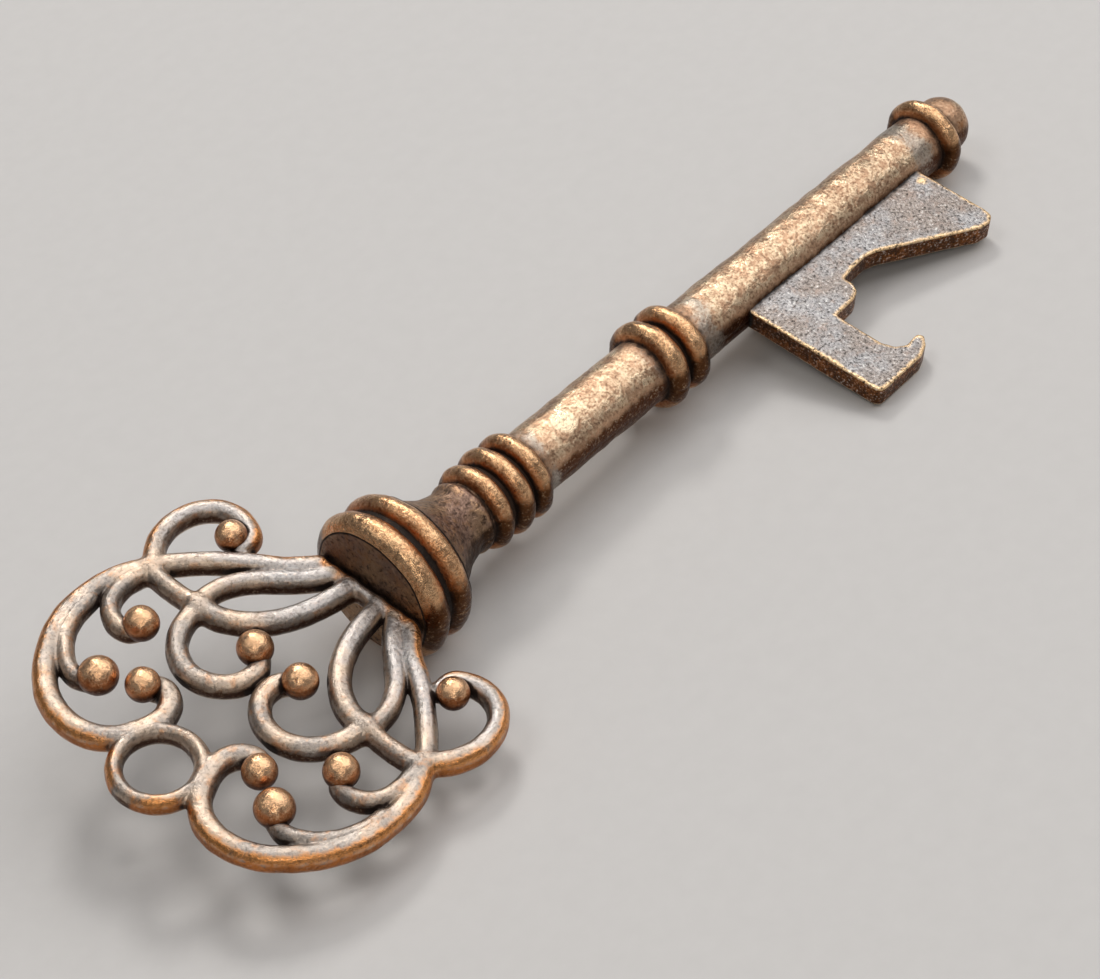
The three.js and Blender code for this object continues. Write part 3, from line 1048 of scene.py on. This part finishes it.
# The box that the plate is worked out in, and the size of its cells.
BIT_LOW = (57.6, -14.0, -1.2)
BIT_HIGH = (78.6, -1.2, 1.2)
BIT_STEP = 0.075

# The corners of the outline are rounded by blurring over this many cells each way.
BIT_CORNER_REACH = 2

# The bright line on the edge, the wider worn band along it, and how much of the walls is
# bare copper.
BIT_RIDGE_WIDTH = 0.18
BIT_WORN_WIDTH = 0.48
BIT_WALL_COPPER = 0.4

# The rubbed spot near the tip.
BIT_RUBBED_X = 76.9
BIT_RUBBED_Y = -2.9
BIT_RUBBED_RADIUS = 0.7

BIT_LUMPS = [(0.03, 2.2, 10), (0.015, 0.7, 11), (0.008, 0.3, 12)]


def bit():
    """The flat opener plate under the shank."""
    grid = Grid(BIT_LOW, BIT_HIGH, BIT_STEP)
    plan = grid.plan()
    side = outline_distance(plan, BIT_OUTLINE).reshape(*grid.shape[:2], 1)
    side = blurred(side.astype(np.float32), BIT_CORNER_REACH)[:, :, 0]
    metal = rounded_plate(side, grid.axes[2], BIT_THICKNESS, BIT_EDGE_RADIUS)
    metal = metal.astype(np.float32)
    y = plan[:, 1].reshape(*grid.shape[:2], 1)
    rod = np.hypot(y, grid.axes[2][None, None, :]) - SHANK_RADIUS
    everything = np.minimum(metal, rod)
    vertices, faces = largest_part(*surface(grid, metal))
    outward = slopes(grid, metal, vertices)
    room = grid.sample(everything, vertices + outward * GRIME_REACH) / GRIME_REACH
    x, y, z = vertices.T
    from_side = grid.sample_plan(side, vertices)
    near_edge = edge_mark(from_side, z, BIT_THICKNESS, BIT_WORN_WIDTH)
    from_spot = np.hypot(x - BIT_RUBBED_X, y - BIT_RUBBED_Y)
    rubbed = np.clip(1 - from_spot / BIT_RUBBED_RADIUS, 0, 1)
    marks = {
        "wear": np.maximum(near_edge, rubbed),
        "grime": 0.9 - room,
        # The walls are painted darker as painted shade, mixed with bare copper by the rim mark.
        "wall": 1 - np.abs(outward[:, 2]) * 1.4,
        "rim": np.full(len(vertices), BIT_WALL_COPPER),
        "ridge": edge_mark(from_side, z, BIT_THICKNESS, BIT_RIDGE_WIDTH),
    }
    vertices = vertices + outward * cast_lumps(vertices, BIT_LUMPS)[:, None]
    make_piece("bit", vertices, faces, BIT_METAL, "bit_patina", marks)


# ---- Floor, light and camera ----

# The camera in the key's own frame, in millimetres.
CAMERA_PLACE = (-70.04, -86.33, 149.85)
CAMERA_AIM = (37.79, -2.41, 0.0)
CAMERA_UP = (0.5425, 0.5036, 0.6724)
CAMERA_LENS = 104.73
SENSOR_WIDTH = 36

# The range that the camera sees and the side of the floor, in metres.
CAMERA_NEAR = 0.01
CAMERA_FAR = 10
FLOOR_SIZE = 3.0

# The mottling of the floor, in millimetres.
FLOOR_MOTTLE = 1.5

# Area lights: place and size in metres, power in watts, colour.
LIGHTS = {
    "overhead": ((0.44, -0.15, 0.68), 1.0, 4.9, (1.0, 0.98, 0.97)),
    "window": ((0.28, 0.34, 0.5), 0.16, 1.3, (1.0, 0.98, 0.95)),
    "top": ((-0.25, 0.15, 0.6), 0.25, 0.5, (1.0, 0.97, 0.93)),
    "fill": ((-0.3, -0.36, 0.42), 0.16, 0.5, (1.0, 0.95, 0.88)),
}
WORLD_COLOUR = (0.86, 0.87, 0.9, 1)
WORLD_STRENGTH = 0.2


def floor():
    """A plain pale floor, mottled a little as paper is."""
    n = Nodes("floor_paper")
    shade = n.mix(n.noise(FLOOR_MOTTLE, 4.0), linear("cac8c6"), linear("d0cecc"))
    shader = n.add("ShaderNodeBsdfPrincipled", {"Base Color": shade, "Roughness": 0.85})
    n.add("ShaderNodeOutputMaterial", {"Surface": shader.outputs[0]})
    half = FLOOR_SIZE / 2
    mesh = bpy.data.meshes.new("floor")
    mesh.from_pydata([(-half, -half, 0), (half, -half, 0), (half, half, 0), (-half, half, 0)],
                     [], [(0, 1, 2, 3)])
    mesh.materials.append(n.material)
    plane = bpy.data.objects.new("floor", mesh)
    bpy.context.scene.collection.objects.link(plane)


def softbox(name, place, size, power, colour):
    """A square area light, at a place in metres, that faces the middle of the key."""
    data = bpy.data.lights.new(name, "AREA")
    data.shape = "SQUARE"
    data.size = size
    data.energy = power
    data.color = colour
    light = bpy.data.objects.new(name, data)
    light.location = place
    light.rotation_mode = "QUATERNION"
    light.rotation_quaternion = (-Vector(place)).to_track_quat("-Z", "Y")
    bpy.context.scene.collection.objects.link(light)


def lights():
    """Soft studio light from a large overhead box, three small ones and a grey world."""
    for name, (place, size, power, colour) in LIGHTS.items():
        softbox(name, place, size, power, colour)
    world = bpy.data.worlds.new("studio")
    world.use_nodes = True
    background = world.node_tree.nodes["Background"]
    background.inputs["Color"].default_value = WORLD_COLOUR
    background.inputs["Strength"].default_value = WORLD_STRENGTH
    bpy.context.scene.world = world
    bpy.context.scene.view_settings.view_transform = "Standard"


def camera():
    """The camera at the photograph's viewing angle."""
    place = KEY_TO_ROW @ Vector(CAMERA_PLACE)
    back = (place - KEY_TO_ROW @ Vector(CAMERA_AIM)).normalized()
    up = KEY_TO_ROW.to_3x3() @ Vector(CAMERA_UP)
    right = up.cross(back).normalized()
    up = back.cross(right)
    data = bpy.data.cameras.new("camera")
    data.lens = CAMERA_LENS
    data.sensor_width = SENSOR_WIDTH
    data.clip_start = CAMERA_NEAR
    data.clip_end = CAMERA_FAR
    holder = bpy.data.objects.new("camera", data)
    holder.matrix_world = Matrix.Translation(place) @ Matrix(
        (right, up, back)).transposed().to_4x4()
    bpy.context.scene.collection.objects.link(holder)
    bpy.context.scene.camera = holder


bow()
for bead_name, bead_x, bead_y, bead_radius in bead_places():
    bead(bead_name, bead_x, bead_y, bead_radius)
turned_parts()
bit()
floor()
lights()
camera()
